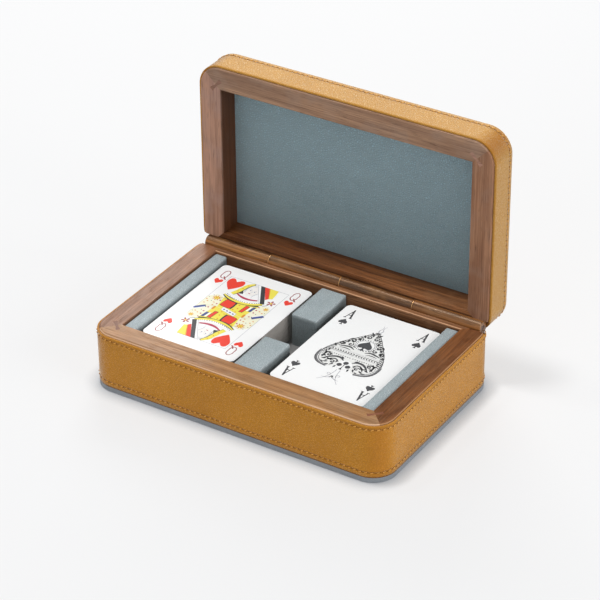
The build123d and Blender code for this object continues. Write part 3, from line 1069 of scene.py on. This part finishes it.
def drawAce():
    drawIndices(aceIndex)
    half = ace["rim"][1:] + ace["lobe"][1:] + ace["filled"][:1]
    inkShape("mist", 1, [(0.0, 25.6, "corner"), *half, ace["filled"][1], *turned(half, 0.0, mirror=True)[::-1]])
    for mirror in (False, True):

        def ink(outline, colour="charcoal", layer=3):
            inkShape(colour, layer, turned(outline, 0.0, mirror=mirror))

        def stroke(path, widths, *look):
            ink(brush(path, widths), *look)

        stroke(ace["rim"], (0.5, 0.4, 0.5, 0.9))
        stroke([(0.92 * x - 0.5, y - 1.0) for x, y in ace["rim"][1:]], (0.2, 0.3), "smoke")
        for (startX, startY), (endX, endY) in zip(ace["rim"], ace["rim"][1:]):
            heading = math.atan2(endY - startY, endX - startX) - math.radians(140)
            for step in range(ace["rimLeaves"]):
                share = (step + 0.5) / ace["rimLeaves"]
                place = (startX + share * (endX - startX) - 0.3, startY + share * (endY - startY))
                ink(turned(leaf, heading, place, 2.5))
        # thick shaded lobes
        stroke(ace["lobe"], (0.8, 2.2, 2.8, 2.6, 1.4), "smoke", 4)
        stroke([(1.05 * x, 1.04 * y) for x, y in ace["lobe"]], (0.4, 0.6, 0.3), "charcoal", 5)
        stroke([(0.97 * x, 0.98 * y) for x, y in ace["lobe"]], (0.1, 0.5, 0.1), "white", 5)
        for path, widths in ace["vines"]:
            stroke(path, widths)
        for scroll in ace["scrolls"]:
            stroke(scrollPath(*scroll, 1), (0.6, 1.1, 0.6))
        for x, y, size, turn in ace["leaves"]:
            ink(turned(leaf, math.radians(turn), (x, y), ace["leafSize"] * size))
        # a garland of leaves and a row of beads across the middle
        level, size = ace["garland"]["level"], ace["garland"]["leaf"]
        for x in evenSteps(**ace["garland"]):
            for angle in (38, -38):
                ink(turned(leaf, math.radians(angle), (x - 0.6, level), size))
        for line in (level + 1.9, level - 1.9):
            stroke([(0.0, line), (8.0, line + 0.3), (16.8, line)], (0.25, 0.25), "grey")
        for x in evenSteps(**ace["beads"]):
            ink(oval((x, ace["beads"]["level"]), ace["beads"]["radius"]), "smoke")
        for drawn in ace["flourish"]:
            stroke(*drawn)
        stroke(scrollPath(3.4, -25.4, 2.6, 250, -1), (0.25, 0.4, 0.2), "grey")
    # a plain spade in a beaded oval in the upper part, and three round leaves below
    inkShape("white", 5, oval((0.2, 10.4), 6.6, 6.2))
    for index in range(24):
        angle = math.radians(15 * index)
        inkShape("charcoal", 6, oval((0.2 + 6.3 * math.cos(angle), 10.4 + 5.9 * math.sin(angle)), 0.4))
    inkShape("smoke", 6, oval((0.2, 10.4), 5.6, 5.2), oval((0.2, 10.4), 5.3, 4.9))
    for outline in (spadeLeaf, spadeStem):
        inkShape("charcoal", 7, turned(outline, 0.0, (0.2, 9.8), 8.9))
    inkShape("white", 5, oval((0.0, -13.6), 4.8))
    for x, y in ((0.0, -11.3), (-2.8, -14.3), (2.8, -14.3)):
        inkShape("charcoal", 7, oval((x, y), 1.6))
    inkShape("charcoal", 7, brush([(0.0, -12.6), (0.0, -16.4), (0.0, -18.6)], (0.6, 0.5, 1.7)))


def makePrint(draw, name, side):
    before = set(bpy.data.objects)
    draw()
    shapes = [item for item in bpy.data.objects if item not in before]
    selectOnly(*shapes)
    bpy.ops.object.convert(target="MESH")
    joinAll(list(bpy.context.selected_objects))
    sheet = editNew()
    pick("faces", lambda face: face.normal.z < 0.0)
    bpy.ops.mesh.flip_normals()
    leaveEdit()
    low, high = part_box(side + "_deck_top_card")
    sheet.location = ((low.x + high.x) / 2, (low.y + high.y) / 2, high.z)
    finishPiece(sheet, name, side + "_deck")


makePrint(drawQueen, "left_card_print", "left")
makePrint(drawAce, "right_card_print", "right")
print("cards printed")


# Floor, light and camera

stage = {
    "floorSize": 12.0,
    "floorColour": (0.75, 0.755, 0.765),
    "floorGlow": 0.58,
    "floorLevel": 0.93,
    "contactReach": 0.011,
    "contactLean": (-0.5, -0.56, 0.66),
    "contactShade": (0.38, 0.39, 0.41),
    "ambient": 0.36,
    "mirrored": 0.75,
}
softboxes = {          # place, size and power
    "overhead": ((-0.31, -0.13, 1.95), (0.26, 0.26), 18.0),
    "overheadLeft": ((-0.85, -0.12, 1.82), (0.2, 0.2), 2.6),
    "backLeft": ((-0.72, 1.28, 0.95), (0.8, 0.6), 12.0),
    "rightFill": ((1.8, 0.0, 0.8), (1.2, 1.0), 16.0),
    "frontFill": ((-0.2, -2.0, 1.1), (1.4, 1.0), 4.5),
}
cameraView = {
    "place": (0.68814, -1.07934, 0.85136),
    "yaw": 32.277,
    "pitch": -31.817,
    "roll": -0.431,
    "focalPixels": 2607.8,
    "framePixels": 600,
    "sensor": 36.0,
}


# The floor is plain white; seen directly, part of it glows so that its shadows stay light
def makeFloor():
    bpy.ops.mesh.primitive_plane_add(size=stage["floorSize"], location=(0.0, 0.0, 0.0))
    floor = bpy.context.object
    floor.name = "floor"
    material = newMaterial("paleFloor")[0]
    tree = material.node_tree
    surface(material, {"Base Color": (*stage["floorColour"], 1.0), "Roughness": 0.9, "Specular IOR Level": 0.0})
    # close to the box the glow gives way to a grey shadow, wider on the side away from the light
    reach = {"Distance": stage["contactReach"], "Normal": stage["contactLean"]}
    near = mapped(addNode(tree, "AmbientOcclusion", reach, samples=12).outputs["AO"], 0.5, 0.97)
    shade = mixColour(near, stage["contactShade"], (stage["floorLevel"],) * 3)
    glow = addNode(tree, "Emission", {"Color": shade, "Strength": 1.0})
    seen = addNode(tree, "LightPath").outputs["Is Camera Ray"]
    mix = addNode(tree, "MixShader", {0: maths("MULTIPLY", seen, stage["floorGlow"]),
                                      1: tree.nodes["Principled BSDF"].outputs[0], 2: glow.outputs[0]})
    feed(tree.nodes["Material Output"], {"Surface": mix.outputs[0]})
    dress(floor, material)


# Gloss reflects a white studio, while the even light of the room stays lower
def makeWorld():
    world = bpy.data.worlds.new("studio")
    bpy.context.scene.world = world
    world.use_nodes = True
    tree = world.node_tree
    path = addNode(tree, "LightPath").outputs
    plain = maths("MAXIMUM", path["Is Camera Ray"], path["Is Glossy Ray"])
    strength = mapped(plain, 0.0, 1.0, stage["ambient"], stage["mirrored"])
    feed(tree.nodes["Background"], {"Color": (1.0, 1.0, 1.0, 1.0), "Strength": strength})


def makeSoftbox(name, place, size, power):
    bpy.ops.object.light_add(type="AREA", location=place)
    lamp = bpy.context.object
    lamp.name = name
    lamp.data.shape = "RECTANGLE"
    lamp.data.size, lamp.data.size_y = size
    lamp.data.energy = power
    lamp.rotation_euler = Vector(place).to_track_quat("Z", "Y").to_euler()


def makeCamera():
    bpy.ops.object.camera_add(location=cameraView["place"])
    camera = bpy.context.object
    turn = Matrix.Rotation(math.radians(cameraView["yaw"]), 4, "Z")
    tilt = Matrix.Rotation(math.radians(90.0 + cameraView["pitch"]), 4, "X")
    roll = Matrix.Rotation(math.radians(cameraView["roll"]), 4, "Z")
    camera.rotation_euler = (turn @ tilt @ roll).to_euler()
    camera.data.sensor_width = cameraView["sensor"]
    camera.data.lens = cameraView["focalPixels"] / cameraView["framePixels"] * cameraView["sensor"]
    camera.data.clip_start = 0.01
    bpy.context.scene.camera = camera


makeFloor()
makeWorld()
for name, box in softboxes.items():
    makeSoftbox(name, *box)
makeCamera()
bpy.context.scene.view_settings.view_transform = "Standard"
print("stage ready")
